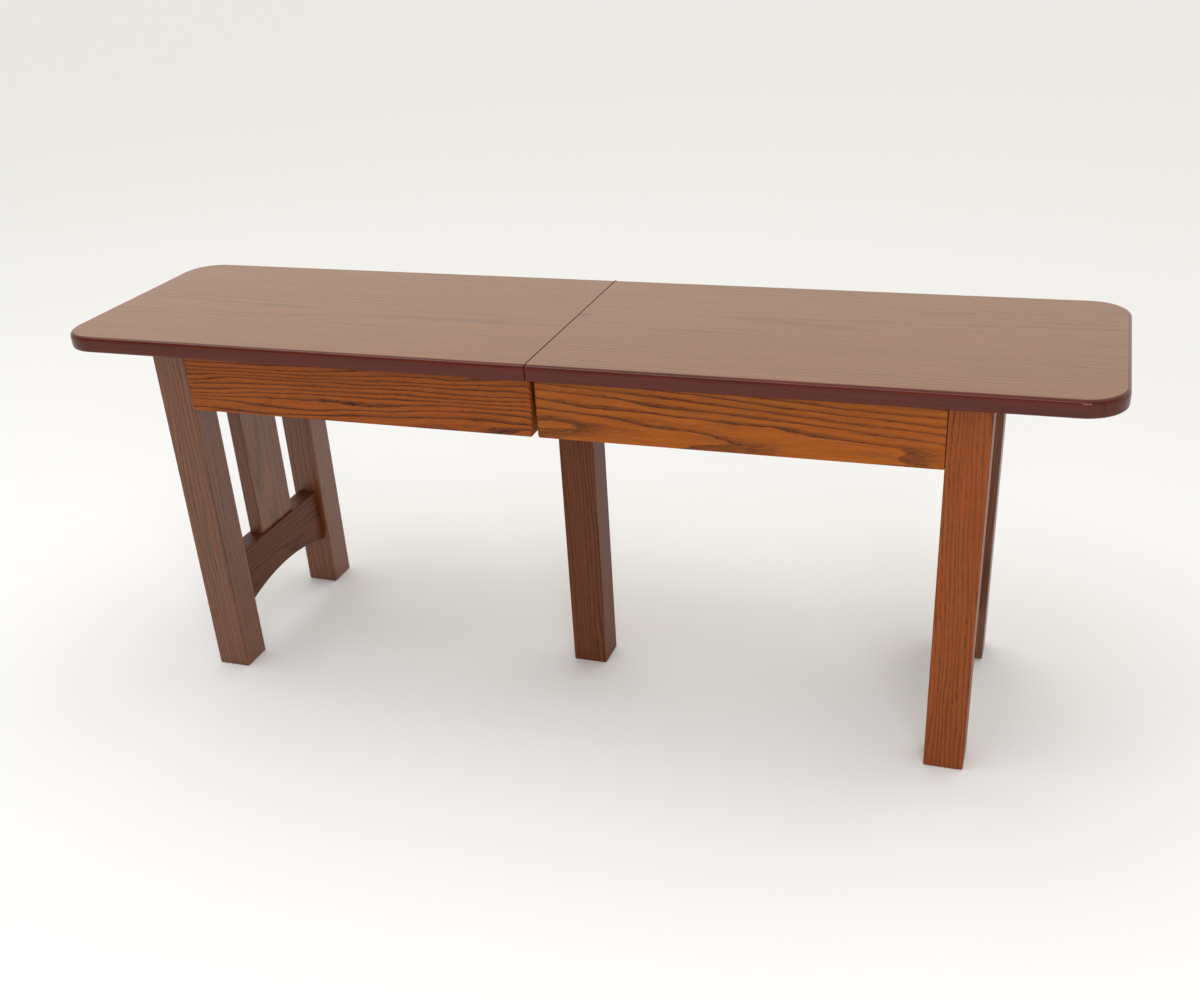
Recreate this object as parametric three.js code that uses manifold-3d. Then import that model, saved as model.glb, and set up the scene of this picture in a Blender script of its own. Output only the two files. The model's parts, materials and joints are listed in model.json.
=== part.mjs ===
// An extending bench in oak, shown closed. Millimetres, +Z up, length along X, front towards -Y.
// The origin is on the floor, under the middle of the closed bench.
//
// The bench is two half benches and a fixed frame between them. Each half has its own seat board,
// two aprons, two legs, and an end frame of rail, slat and arched stretcher. The halves hang on two
// sets of wooden slides. In each set a centre slide carries a pinion, and the pinion meshes with a
// rack on either side of it, so that both halves leave the middle by the same distance.

import * as THREE from 'three';
import { mergeVertices } from 'three/addons/utils/BufferGeometryUtils.js';
import Module from 'manifold-3d';

const wasm = await Module();
wasm.setup();

// ---------------------------------------------------------------- driving dimensions

// Seat boards
const seatHeight = 457;
const topLength = 1226;
const topDepth = 320;
const topThickness = 19;
const topCornerRadius = 45;
const topUpperRound = 6;
const topLowerRound = 3;
const seamGap = 0.6;

// Legs, square and straight
const legWidth = 44;
const legEase = 1.5;
const endOverhang = 124;
const sideOverhang = 16;

// Aprons along the sides and rails across the ends
const apronHeight = 71;
const apronThickness = 20;
const apronSeamGap = 4;
const apronEndRound = 5;
const endRailThickness = 19;

// Stub tenons: two to each apron and end rail, one to each stretcher and slat
const tenonThickness = 9;
const tenonLength = 12;
const tenonHeight = 18;
const tenonSpread = 38;
const stretcherTenonThickness = 13;
const tenonShoulder = 7;
const fit = 0.3;

// End frames below the rails
const stretcherTop = 146;
const stretcherHeight = 76;
const stretcherThickness = 27;
const stretcherArch = 16;
const slatWidth = 80;
const slatThickness = 19;

// Corner blocks and the hanger bolts that hold the legs to them
const cornerBlockThickness = 22;
const cornerBlockHeight = 44;
const cornerBlockGap = 1;
const hangerBoltRadius = 3;
const hangerBoltDepth = 26;
const hangerBoltTail = 12;
const nutAcrossFlats = 10;
const nutThickness = 6;

// Slides
const slideWidth = 22;
const slideHeight = 46;
const slideGap = 0.5;
const slideEndClearance = 54.5;
const slideSideClearance = 16;
const centreSlideDrop = 3;
const tongueDepth = 6;
const tongueRoot = 8;
const tongueTip = 12;
const tongueBelowTop = 13.7;

// Pinions and racks
const gearModule = 2;
const pinionTeeth = 16;
const pressureAngle = THREE.MathUtils.degToRad(20);
const gearBacklash = 0.3;
const pinionThickness = 8;
const pinionAboveBase = 8.3;
const pinionPocketRoom = 2;
const pinionPocketEase = 1;
const rackAddendum = 0.9 * gearModule;
const rackDedendum = 1.25 * gearModule;
const rackBack = 4.5;
const rackMargin = 20;
const axleRadius = 4;
const axleAbovePinion = 12;

// Centre leg, the block that it stands under, and the stops on the slides
const legBlockLength = 120;
const legBlockThickness = 20;
const legBlockLap = 14;
const legBlockCorner = 10;
const stopLength = 25;
const stopHeight = 18;
const stopGap = 0.5;
const legBoltRadius = 5;
const legBoltDepth = 70;
const legBoltHeadAcrossFlats = 17;
const legBoltHeadHeight = 7;
const blockScrewRadius = 2.5;
const blockScrewHeadRadius = 5;
const blockScrewDepth = 24;
const blockScrewInset = 15;

// Pins that line up the two seat boards
const pinRadius = 4;
const pinInset = 50;
const pinSet = 20;
const pinReach = 16;
const pinClearance = 0.4;

// Lever lock across the seam, on the inner faces of the front aprons
const lockHeight = 406;
const lockPivotX = 16;
const lockReach = 28;
const lockPlateThickness = 1.6;
const lockPlateWidth = 30;
const lockPlateHeight = 30;
const lockPlateCorner = 3;
const lockPlateShift = 3;
const leverThickness = 2;
const leverWidth = 14;
const leverEyeRadius = 9;
const leverTipRadius = 8.4;
const leverTabDepth = 8;
const leverTabLength = 14;
const leverTabAboveStud = 2;
const leverTabThickness = 2;
const rivetRadius = 2.5;
const rivetHeadRadius = 5;
const rivetDepth = 9;
const studRadius = 3;
const studHeadRadius = 5;
const lockHeadHeight = 1.8;
const slotMouthAngle = Math.PI / 6;

// How far a cutter runs past what it cuts, and how far joined pieces reach into each other
const past = 1;

// Steps in a quarter round
const roundSteps = 5;

// ---------------------------------------------------------------- places that follow from them

const legOuterX = topLength / 2 - endOverhang;
const legInnerX = legOuterX - legWidth;
const legCentreX = legOuterX - legWidth / 2;
const legOuterY = topDepth / 2 - sideOverhang;
const legInnerY = legOuterY - legWidth;
const legCentreY = legOuterY - legWidth / 2;

const topUnderside = seatHeight - topThickness;
const frameTop = topUnderside - fit;
const apronBottom = topUnderside - apronHeight;
const apronMiddle = (frameTop + apronBottom) / 2;
const apronInnerY = legOuterY - apronThickness;
const apronCentreY = legOuterY - apronThickness / 2;

const stretcherBottom = stretcherTop - stretcherHeight;

const slideHalfLength = legInnerX - slideEndClearance;
const slideBottom = frameTop - slideHeight;
const centreSlideTop = frameTop - centreSlideDrop;
const centreSlideBottom = centreSlideTop - slideHeight;
const slideNear = slideWidth / 2 + slideGap;
const slideFar = slideNear + slideWidth;
const slideSetY = apronInnerY - slideSideClearance - slideFar;
const tongueMiddle = frameTop - tongueBelowTop;

const legBlockTop = centreSlideBottom - fit;
const legBlockBottom = legBlockTop - legBlockThickness;
const legBlockHalfDepth = slideSetY + slideNear + legBlockLap;
const travel = slideHalfLength - stopLength - legBlockLength / 2 - stopGap;

const pinionBottom = centreSlideBottom + pinionAboveBase;
const pinionTop = pinionBottom + pinionThickness;
const pinionPitchRadius = gearModule * pinionTeeth / 2;
const pinionTipRadius = pinionPitchRadius + gearModule;
const pinionRootRadius = pinionPitchRadius - rackDedendum;
const rackPitch = Math.PI * gearModule;
const rackBackAt = pinionPitchRadius + rackDedendum + rackBack;
const rackFirstSpace = -Math.ceil(rackMargin / rackPitch);
const rackLastSpace = Math.ceil((travel + rackMargin) / rackPitch);

const leverFace = -apronInnerY + fit + lockPlateThickness + fit;

// ---------------------------------------------------------------- materials

const topOak = new THREE.MeshStandardMaterial({ color: 0x7a4632, roughness: 0.28, metalness: 0 });
const frameOak = new THREE.MeshStandardMaterial({ color: 0x8a4a2c, roughness: 0.38, metalness: 0 });
const slideMaple = new THREE.MeshStandardMaterial({ color: 0xc79a66, roughness: 0.5, metalness: 0 });
const blockPoplar = new THREE.MeshStandardMaterial({ color: 0xb08a5c, roughness: 0.6, metalness: 0 });
const zincSteel = new THREE.MeshStandardMaterial({ color: 0xa9a9a4, roughness: 0.35, metalness: 1 });
const rackSteel = new THREE.MeshStandardMaterial({ color: 0x6b6f73, roughness: 0.45, metalness: 1 });
const lockBrass = new THREE.MeshStandardMaterial({ color: 0xb08d4a, roughness: 0.35, metalness: 1 });

// ---------------------------------------------------------------- ways of making a solid

// A closed geometry, as a solid that can be cut and joined.
function solidFrom(geometry) {
  geometry.deleteAttribute('normal');
  geometry.deleteAttribute('uv');
  const welded = mergeVertices(geometry, 1e-4);
  const vertProperties = new Float32Array(welded.attributes.position.array);
  const triVerts = new Uint32Array(welded.index.array);
  return new wasm.Manifold(new wasm.Mesh({ numProp: 3, vertProperties, triVerts }));
}

function block(x0, x1, y0, y1, z0, z1) {
  const geometry = new THREE.BoxGeometry(Math.abs(x1 - x0), Math.abs(y1 - y0), Math.abs(z1 - z0));
  geometry.translate((x0 + x1) / 2, (y0 + y1) / 2, (z0 + z1) / 2);
  return solidFrom(geometry);
}

// The axes that a flat shape's own x, y and depth take up when it is extruded along X, Y or Z.
const extrudeBases = {
  x: [new THREE.Vector3(0, 1, 0), new THREE.Vector3(0, 0, 1), new THREE.Vector3(1, 0, 0)],
  y: [new THREE.Vector3(1, 0, 0), new THREE.Vector3(0, 0, 1), new THREE.Vector3(0, -1, 0)],
  z: [new THREE.Vector3(1, 0, 0), new THREE.Vector3(0, 1, 0), new THREE.Vector3(0, 0, 1)],
};

// A shape drawn in the other two axes, extruded along one axis between two places on it.
function prism(shape, axis, from, to, curveSegments = 8) {
  const low = Math.min(from, to);
  const high = Math.max(from, to);
  const geometry = new THREE.ExtrudeGeometry(shape, {
    depth: high - low,
    bevelEnabled: false,
    curveSegments,
  });
  geometry.applyMatrix4(new THREE.Matrix4().makeBasis(...extrudeBases[axis]));
  const start = axis === 'y' ? high : low;
  geometry.translate(axis === 'x' ? start : 0, axis === 'y' ? start : 0, axis === 'z' ? start : 0);
  return solidFrom(geometry);
}

// A round bar between two points, or a hexagonal one when it has six sides.
function bar(radius, start, end, sides = 16) {
  const along = end.clone().sub(start);
  const geometry = new THREE.CylinderGeometry(radius, radius, along.length(), sides);
  const upright = new THREE.Vector3(0, 1, 0);
  geometry.applyQuaternion(new THREE.Quaternion().setFromUnitVectors(upright, along.normalize()));
  geometry.translate((start.x + end.x) / 2, (start.y + end.y) / 2, (start.z + end.z) / 2);
  return solidFrom(geometry);
}

function at(x, y, z) {
  return new THREE.Vector3(x, y, z);
}

// A turned piece: a profile of radius and height, revolved and stood along X, Y or Z.
function turned(profile, axis, origin, sides = 16) {
  const geometry = new THREE.LatheGeometry(profile.map(([r, h]) => new THREE.Vector2(r, h)), sides);
  const upright = new THREE.Vector3(0, 1, 0);
  geometry.applyQuaternion(new THREE.Quaternion().setFromUnitVectors(upright, axis));
  geometry.translate(origin.x, origin.y, origin.z);
  return solidFrom(geometry);
}

// A closed solid through rings that have equal numbers of points, with a flat cap at each end.
function loft(rings) {
  const count = rings[0].length;
  const last = (rings.length - 1) * count;
  const index = [];
  for (let ring = 0; ring < rings.length - 1; ring += 1) {
    for (let i = 0; i < count; i += 1) {
      const a = ring * count + i;
      const b = ring * count + (i + 1) % count;
      index.push(a, b, b + count, a, b + count, a + count);
    }
  }
  for (let i = 1; i < count - 1; i += 1) {
    index.push(0, i + 1, i, last, last + i, last + i + 1);
  }
  const geometry = new THREE.BufferGeometry().setFromPoints(rings.flat());
  geometry.setIndex(index);
  return solidFrom(geometry);
}

function polygon(points) {
  return new THREE.Shape(points.map(([x, y]) => new THREE.Vector2(x, y)));
}

// A rectangle between two places, with a radius of its own at each corner, counted from the low
// corner and round by the high X one. A radius of zero leaves the corner square.
function roundedRectangle(x0, y0, x1, y1, radii, steps) {
  const corners = [[x0, y0, 1, 1], [x1, y0, -1, 1], [x1, y1, -1, -1], [x0, y1, 1, -1]];
  return polygon(corners.flatMap(([x, y, inX, inY], corner) => {
    const radius = radii[corner];
    const count = radius > 0 ? steps + 1 : 1;
    return Array.from({ length: count }, (_, i) => {
      const angle = Math.PI + (corner + i / steps) * Math.PI / 2;
      const alongX = inX * radius + radius * Math.cos(angle);
      const alongY = inY * radius + radius * Math.sin(angle);
      return [x + alongX, y + alongY];
    });
  }));
}

// A rectangle about a centre with its four corners cut at 45 degrees.
function easedRectangle(cx, cy, width, depth, ease) {
  const w = width / 2;
  const d = depth / 2;
  return polygon([
    [cx - w + ease, cy - d],
    [cx + w - ease, cy - d],
    [cx + w, cy - d + ease],
    [cx + w, cy + d - ease],
    [cx + w - ease, cy + d],
    [cx - w + ease, cy + d],
    [cx - w, cy + d - ease],
    [cx - w, cy - d + ease],
  ]);
}

function joined(solids) {
  return solids.reduce((whole, next) => whole.add(next));
}

function cut(solid, tools) {
  return tools.reduce((rest, tool) => rest.subtract(tool), solid);
}

const bench = new THREE.Group();

function place(name, solid, material, group = bench) {
  const { vertProperties, triVerts } = solid.getMesh();
  const geometry = new THREE.BufferGeometry();
  geometry.setAttribute('position', new THREE.BufferAttribute(new Float32Array(vertProperties), 3));
  geometry.setIndex(new THREE.BufferAttribute(new Uint32Array(triVerts), 1));
  geometry.computeVertexNormals();
  const mesh = new THREE.Mesh(geometry, material);
  mesh.name = name;
  group.add(mesh);
}

// ---------------------------------------------------------------- joinery of a half bench
//
// A half bench is drawn as the left one, which lies at negative X. The right one is the same
// half turned half a circle about Z. `side` is -1 for its front corner and 1 for its rear one.
// Each function gives the tenons, or their mortises when `grow` is the fit all round.

function twinTenons(makeOne) {
  const middles = [apronMiddle - tenonSpread / 2, apronMiddle + tenonSpread / 2];
  return middles.map((z) => makeOne(z - tenonHeight / 2, z + tenonHeight / 2));
}

function apronTenons(side, grow) {
  const y = side * apronCentreY;
  const half = tenonThickness / 2 + grow;
  const tip = -legInnerX - tenonLength - grow;
  return twinTenons((z0, z1) => block(tip, -legInnerX + past, y - half, y + half, z0 - grow, z1 + grow));
}

function endRailTenons(side, grow) {
  const half = tenonThickness / 2 + grow;
  const tip = side * (legInnerY + tenonLength + grow);
  const root = side * (legInnerY - past);
  const [x0, x1] = [-legCentreX - half, -legCentreX + half];
  return twinTenons((z0, z1) => block(x0, x1, root, tip, z0 - grow, z1 + grow));
}

function stretcherTenon(side, grow) {
  const half = stretcherTenonThickness / 2 + grow;
  const z0 = stretcherBottom + tenonShoulder - grow;
  const z1 = stretcherTop - tenonShoulder + grow;
  const tip = side * (legInnerY + tenonLength + grow);
  return block(-legCentreX - half, -legCentreX + half, side * (legInnerY - past), tip, z0, z1);
}

function slatTenon(root, tip, grow) {
  const half = tenonThickness / 2 + grow;
  const wide = slatWidth / 2 - tenonShoulder + grow;
  const end = tip + Math.sign(tip - root) * grow;
  return block(-legCentreX - half, -legCentreX + half, -wide, wide, root, end);
}

// The hanger bolt's line runs through the leg's inner corner at 45 degrees, level with the gap
// between the twin tenons. `inward` is measured from that corner towards the block and the nut.
function hangerPoint(side, inward) {
  const step = inward / Math.SQRT2;
  return at(-legInnerX + step, side * (legInnerY - step), apronMiddle);
}

// ---------------------------------------------------------------- pieces of a half bench

function boardRing(inset, z) {
  const steps = 10;
  const radius = topCornerRadius - inset;
  const reachX = topLength / 2 - topCornerRadius;
  const reachY = topDepth / 2 - topCornerRadius;
  const corners = [[reachX, -reachY], [reachX, reachY], [-reachX, reachY], [-reachX, -reachY]];
  const ring = [];
  corners.forEach(([x, y], corner) => {
    for (let i = 0; i <= steps; i += 1) {
      const angle = (corner - 1 + i / steps) * Math.PI / 2;
      ring.push(at(x + radius * Math.cos(angle), y + radius * Math.sin(angle), z));
    }
  });
  return ring;
}

// One board for the whole seat, with a small round below and a full one above, cut at the seam.
function seatBoard() {
  const steps = 5;
  const rings = [];
  for (let i = 0; i <= steps; i += 1) {
    const angle = i / steps * Math.PI / 2;
    const inset = topLowerRound * (1 - Math.sin(angle));
    rings.push(boardRing(inset, topUnderside + topLowerRound * (1 - Math.cos(angle))));
  }
  for (let i = 0; i <= steps; i += 1) {
    const angle = i / steps * Math.PI / 2;
    const inset = topUpperRound * (1 - Math.cos(angle));
    rings.push(boardRing(inset, seatHeight - topUpperRound * (1 - Math.sin(angle))));
  }
  const halfRoom = block(-topLength, -seamGap / 2, -topDepth, topDepth, 0, seatHeight * 2);
  const pinHoles = [-1, 1].map((side) => {
    const y = side * (topDepth / 2 - pinInset);
    const z = topUnderside + topThickness / 2;
    return bar(pinRadius + pinClearance, at(-pinSet - fit, y, z), at(past, y, z));
  });
  return cut(loft(rings).intersect(halfRoom), pinHoles);
}

// The apron stops short of the seam, with its upright edges and its lower corner rounded there.
function apron(side, extraCuts) {
  const y = side * apronCentreY;
  const shoulder = -legInnerX + fit;
  const end = -apronSeamGap / 2;
  const round = apronEndRound;
  const outer = y - apronThickness / 2;
  const inner = outer + apronThickness;
  const plan = roundedRectangle(shoulder, outer, end, inner, [0, round, round, 0], roundSteps);
  const face = roundedRectangle(shoulder, apronBottom, end, frameTop, [0, round, 0, 0], roundSteps);
  const body = prism(plan, 'z', apronBottom, frameTop).intersect(prism(face, 'y', outer, inner));
  return cut(joined([body, ...apronTenons(side, 0)]), extraCuts);
}

function leg(side) {
  const section = easedRectangle(-legCentreX, side * legCentreY, legWidth, legWidth, legEase);
  return cut(prism(section, 'z', 0, frameTop), [
    ...apronTenons(side, fit),
    ...endRailTenons(side, fit),
    stretcherTenon(side, fit),
    bar(hangerBoltRadius + fit, hangerPoint(side, -hangerBoltDepth - fit), hangerPoint(side, past)),
  ]);
}

function endRail() {
  const half = endRailThickness / 2;
  const reach = legInnerY - fit;
  const body = block(-legCentreX - half, -legCentreX + half, -reach, reach, apronBottom, frameTop);
  const whole = joined([body, ...endRailTenons(-1, 0), ...endRailTenons(1, 0)]);
  return cut(whole, [slatTenon(apronBottom - past, apronBottom + tenonLength, fit)]);
}

// The stretcher's underside is one shallow arch from leg to leg.
function stretcher() {
  const reach = legInnerY - fit;
  const archRadius = (reach * reach + stretcherArch * stretcherArch) / (2 * stretcherArch);
  const archHalfAngle = Math.asin(reach / archRadius);
  const archMiddle = stretcherBottom + stretcherArch - archRadius;
  const face = new THREE.Shape();
  face.moveTo(-reach, stretcherBottom);
  face.absarc(0, archMiddle, archRadius, Math.PI / 2 + archHalfAngle, Math.PI / 2 - archHalfAngle, true);
  face.lineTo(reach, stretcherTop);
  face.lineTo(-reach, stretcherTop);
  face.closePath();
  const half = stretcherThickness / 2;
  const body = prism(face, 'x', -legCentreX - half, -legCentreX + half, 20);
  const whole = joined([body, stretcherTenon(-1, 0), stretcherTenon(1, 0)]);
  return cut(whole, [slatTenon(stretcherTop + past, stretcherTop - tenonLength, fit)]);
}

function slat() {
  const half = slatThickness / 2;
  const wide = slatWidth / 2;
  const z0 = stretcherTop + fit;
  const z1 = apronBottom - fit;
  return joined([
    block(-legCentreX - half, -legCentreX + half, -wide, wide, z0, z1),
    slatTenon(z0 + past, stretcherTop - tenonLength, 0),
    slatTenon(z1 - past, apronBottom + tenonLength, 0),
  ]);
}

// A block set across the corner behind the leg, with its ends square to the apron and the rail.
function cornerBlock(side) {
  const cornerSum = legInnerX + legInnerY;
  const atApron = apronInnerY - fit;
  const atRail = legCentreX - endRailThickness / 2 - fit;
  const nearLeg = cornerSum - cornerBlockGap * Math.SQRT2;
  const nearRoom = nearLeg - cornerBlockThickness * Math.SQRT2;
  const plan = polygon([
    [-(nearLeg - atApron), side * atApron],
    [-atRail, side * (nearLeg - atRail)],
    [-atRail, side * (nearRoom - atRail)],
    [-(nearRoom - atApron), side * atApron],
  ]);
  const z0 = apronMiddle - cornerBlockHeight / 2;
  const reach = cornerBlockThickness + hangerBoltTail;
  return cut(prism(plan, 'z', z0, z0 + cornerBlockHeight), [
    bar(hangerBoltRadius + fit, hangerPoint(side, -past), hangerPoint(side, reach)),
  ]);
}

function hangerBolt(side) {
  const tail = cornerBlockGap + cornerBlockThickness + hangerBoltTail;
  return bar(hangerBoltRadius, hangerPoint(side, -hangerBoltDepth), hangerPoint(side, tail), 12);
}

function hangerNut(side) {
  const seat = cornerBlockGap + cornerBlockThickness + fit;
  const acrossCorners = nutAcrossFlats / 2 / Math.cos(Math.PI / 6);
  const body = bar(acrossCorners, hangerPoint(side, seat), hangerPoint(side, seat + nutThickness), 6);
  const bore = bar(
    hangerBoltRadius + fit,
    hangerPoint(side, seat - past),
    hangerPoint(side, seat + nutThickness + past),
    12,
  );
  return body.subtract(bore);
}

// ---------------------------------------------------------------- slides
//
// A slide set is drawn about its centre slide. `across` is measured from the centre slide's middle
// plane, and `dir` says which way along Y it is counted.

// Half the dovetail tongue's height where it stands `across` from the middle plane.
function tongueHalf(across) {
  const rise = (tongueTip - tongueRoot) / 2 / tongueDepth;
  return tongueRoot / 2 + (across - slideWidth / 2) * rise;
}

// A sliding member, with the dovetail groove along its whole length and a trench for the rack.
function slidingMember(centreY, dir) {
  const floor = slideWidth / 2 + tongueDepth + slideGap;
  const mouthHalf = tongueHalf(slideNear) + slideGap;
  const floorHalf = tongueHalf(floor) + slideGap;
  const section = polygon([
    [slideNear, slideBottom],
    [slideFar, slideBottom],
    [slideFar, frameTop],
    [slideNear, frameTop],
    [slideNear, tongueMiddle + mouthHalf],
    [floor, tongueMiddle + floorHalf],
    [floor, tongueMiddle - floorHalf],
    [slideNear, tongueMiddle - mouthHalf],
  ].map(([across, z]) => [centreY + dir * across, z]));
  const trench = block(
    rackFirstSpace * rackPitch - fit,
    rackLastSpace * rackPitch + fit,
    centreY + dir * (slideNear - past),
    centreY + dir * (rackBackAt + fit),
    pinionBottom - fit,
    pinionTop + fit,
  );
  return prism(section, 'x', -slideHalfLength, slideHalfLength).subtract(trench);
}

// The rack's spaces are centred on whole pitches, so that a pinion tooth fills the one at X = 0.
function rack(centreY, dir) {
  const lean = Math.tan(pressureAngle);
  const halfAtTip = rackPitch / 4 - rackAddendum * lean;
  const halfAtRoot = rackPitch / 4 + rackDedendum * lean;
  const tip = centreY + dir * (pinionPitchRadius - rackAddendum);
  const root = centreY + dir * (pinionPitchRadius + rackDedendum);
  const back = centreY + dir * rackBackAt;
  const outline = [[rackFirstSpace * rackPitch, root]];
  for (let space = rackFirstSpace; space < rackLastSpace; space += 1) {
    const middle = (space + 0.5) * rackPitch;
    outline.push([middle - halfAtRoot, root]);
    outline.push([middle - halfAtTip, tip]);
    outline.push([middle + halfAtTip, tip]);
    outline.push([middle + halfAtRoot, root]);
  }
  outline.push([rackLastSpace * rackPitch, root]);
  outline.push([rackLastSpace * rackPitch, back]);
  outline.push([rackFirstSpace * rackPitch, back]);
  return prism(polygon(outline), 'z', pinionBottom, pinionTop);
}

// An involute pinion. The first tooth points along +Y.
function pinion(centreY) {
  const baseRadius = pinionPitchRadius * Math.cos(pressureAngle);
  const involute = Math.tan(pressureAngle) - pressureAngle;
  const thickness = rackPitch / 2 - gearBacklash;
  const halfAtBase = thickness / 2 / pinionPitchRadius + involute;
  const rollToTip = Math.sqrt((pinionTipRadius / baseRadius) ** 2 - 1);
  const flankSteps = 3;
  const flank = [[pinionRootRadius, halfAtBase]];
  for (let i = 0; i <= flankSteps; i += 1) {
    const roll = rollToTip * i / flankSteps;
    flank.push([baseRadius * Math.sqrt(1 + roll * roll), halfAtBase - (roll - Math.atan(roll))]);
  }
  const tooth = [
    ...flank.map(([radius, half]) => [radius, -half]),
    ...flank.toReversed().map(([radius, half]) => [radius, half]),
  ];
  const outline = [];
  for (let i = 0; i < pinionTeeth; i += 1) {
    const middle = Math.PI / 2 + i * 2 * Math.PI / pinionTeeth;
    tooth.forEach(([radius, offset]) => {
      const angle = middle + offset;
      outline.push([radius * Math.cos(angle), centreY + radius * Math.sin(angle)]);
    });
  }
  const bore = bar(axleRadius + fit, at(0, centreY, pinionBottom - past), at(0, centreY, pinionTop + past));
  return prism(polygon(outline), 'z', pinionBottom, pinionTop).subtract(bore);
}

const axleTop = pinionTop + axleAbovePinion;

function pinionAxle(centreY) {
  return bar(axleRadius, at(0, centreY, centreSlideBottom), at(0, centreY, axleTop));
}

const screwX = legBlockLength / 2 - blockScrewInset;
const screwTop = legBlockTop + blockScrewDepth;

// A countersunk wood screw, driven up from the block's underside. Its hole is the same form with
// `grow` as the fit, run `below` the underside.
function blockScrew(x, y, grow, below) {
  const height = screwTop - legBlockBottom;
  const radius = blockScrewRadius + grow;
  const profile = [
    [0, -below],
    [blockScrewHeadRadius + grow + below, -below],
    [radius, blockScrewHeadRadius - blockScrewRadius],
    [radius, height - blockScrewRadius],
    [0, height + grow],
  ];
  return turned(profile, at(0, 0, 1), at(x, y, legBlockBottom), 12);
}

// The fixed member of a set: a dovetail tongue on each side and a pocket for the pinion.
function centreSlide(centreY) {
  const face = slideWidth / 2;
  const tip = face + tongueDepth;
  const rootHalf = tongueRoot / 2;
  const tipHalf = tongueTip / 2;
  const rightSide = [
    [face, centreSlideBottom],
    [face, tongueMiddle - rootHalf],
    [tip, tongueMiddle - tipHalf],
    [tip, tongueMiddle + tipHalf],
    [face, tongueMiddle + rootHalf],
    [face, centreSlideTop],
  ];
  const leftSide = rightSide.toReversed().map(([across, z]) => [-across, z]);
  const section = polygon([...rightSide, ...leftSide].map(([across, z]) => [centreY + across, z]));
  const pocketHalf = pinionTipRadius + pinionPocketRoom;
  return cut(prism(section, 'x', -slideHalfLength, slideHalfLength), [
    block(
      -pocketHalf,
      pocketHalf,
      centreY - slideFar,
      centreY + slideFar,
      pinionBottom - pinionPocketEase,
      pinionTop + pinionPocketEase,
    ),
    bar(axleRadius + fit, at(0, centreY, centreSlideBottom - past), at(0, centreY, axleTop + fit)),
    blockScrew(-screwX, centreY, fit, past),
    blockScrew(screwX, centreY, fit, past),
  ]);
}

// A stop glued under a sliding member's far end, which meets the leg block at full opening.
function slideStop(centreY, dir) {
  const top = slideBottom - fit;
  return block(
    slideHalfLength - stopLength,
    slideHalfLength,
    centreY + dir * slideNear,
    centreY + dir * slideFar,
    top - stopHeight,
    top,
  );
}

// ---------------------------------------------------------------- the two half benches

const lockRivetY = -apronInnerY - rivetDepth;

function rivetHole() {
  return bar(
    rivetRadius + fit,
    at(lockPivotX, lockRivetY - fit, lockHeight),
    at(lockPivotX, 0, lockHeight),
  );
}

['left', 'right'].forEach((half) => {
  const group = new THREE.Group();
  const isTurned = half === 'right';
  group.rotation.z = isTurned ? Math.PI : 0;
  bench.add(group);
  const nameOf = { '-1': isTurned ? 'rear' : 'front', 1: isTurned ? 'front' : 'rear' };

  place(`${half}_seat_board`, seatBoard(), topOak, group);
  place(`${half}_end_rail`, endRail(), frameOak, group);
  place(`${half}_stretcher`, stretcher(), frameOak, group);
  place(`${half}_slat`, slat(), frameOak, group);

  [-1, 1].forEach((side) => {
    const corner = `${half}_${nameOf[side]}`;
    const holdsLever = isTurned && side === 1;
    const cuts = holdsLever ? [rivetHole().rotate([0, 0, 180])] : [];
    place(`${corner}_apron`, apron(side, cuts), frameOak, group);
    place(`${corner}_leg`, leg(side), frameOak, group);
    place(`${corner}_corner_block`, cornerBlock(side), blockPoplar, group);
    place(`${corner}_hanger_bolt`, hangerBolt(side), zincSteel, group);
    place(`${corner}_hanger_nut`, hangerNut(side), zincSteel, group);
    // The half's front slide is the outer one of its set, and its rear slide is the inner one.
    const centreY = side * slideSetY;
    place(`${corner}_slide`, slidingMember(centreY, -1), slideMaple, group);
    place(`${corner}_rack`, rack(centreY, -1), rackSteel, group);
    place(`${corner}_slide_stop`, slideStop(centreY, -1), blockPoplar, group);
  });
});

[-1, 1].forEach((side) => {
  const name = side < 0 ? 'front_alignment_pin' : 'rear_alignment_pin';
  const nose = pinRadius / 2;
  const profile = [
    [0, -pinReach],
    [pinRadius - nose, -pinReach],
    [pinRadius, -pinReach + nose],
    [pinRadius, pinSet],
    [0, pinSet],
  ];
  const middle = at(0, side * (topDepth / 2 - pinInset), topUnderside + topThickness / 2);
  place(name, turned(profile, at(1, 0, 0), middle, 12), slideMaple);
});

// ---------------------------------------------------------------- the fixed frame in the middle

[-1, 1].forEach((side) => {
  const set = side < 0 ? 'front' : 'rear';
  place(`${set}_centre_slide`, centreSlide(side * slideSetY), slideMaple);
  place(`${set}_pinion`, pinion(side * slideSetY), rackSteel);
  place(`${set}_pinion_axle`, pinionAxle(side * slideSetY), zincSteel);
  [-1, 1].forEach((end) => {
    const name = `${set}_${end < 0 ? 'left' : 'right'}_block_screw`;
    place(name, blockScrew(end * screwX, side * slideSetY, 0, 0), zincSteel);
  });
});

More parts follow.
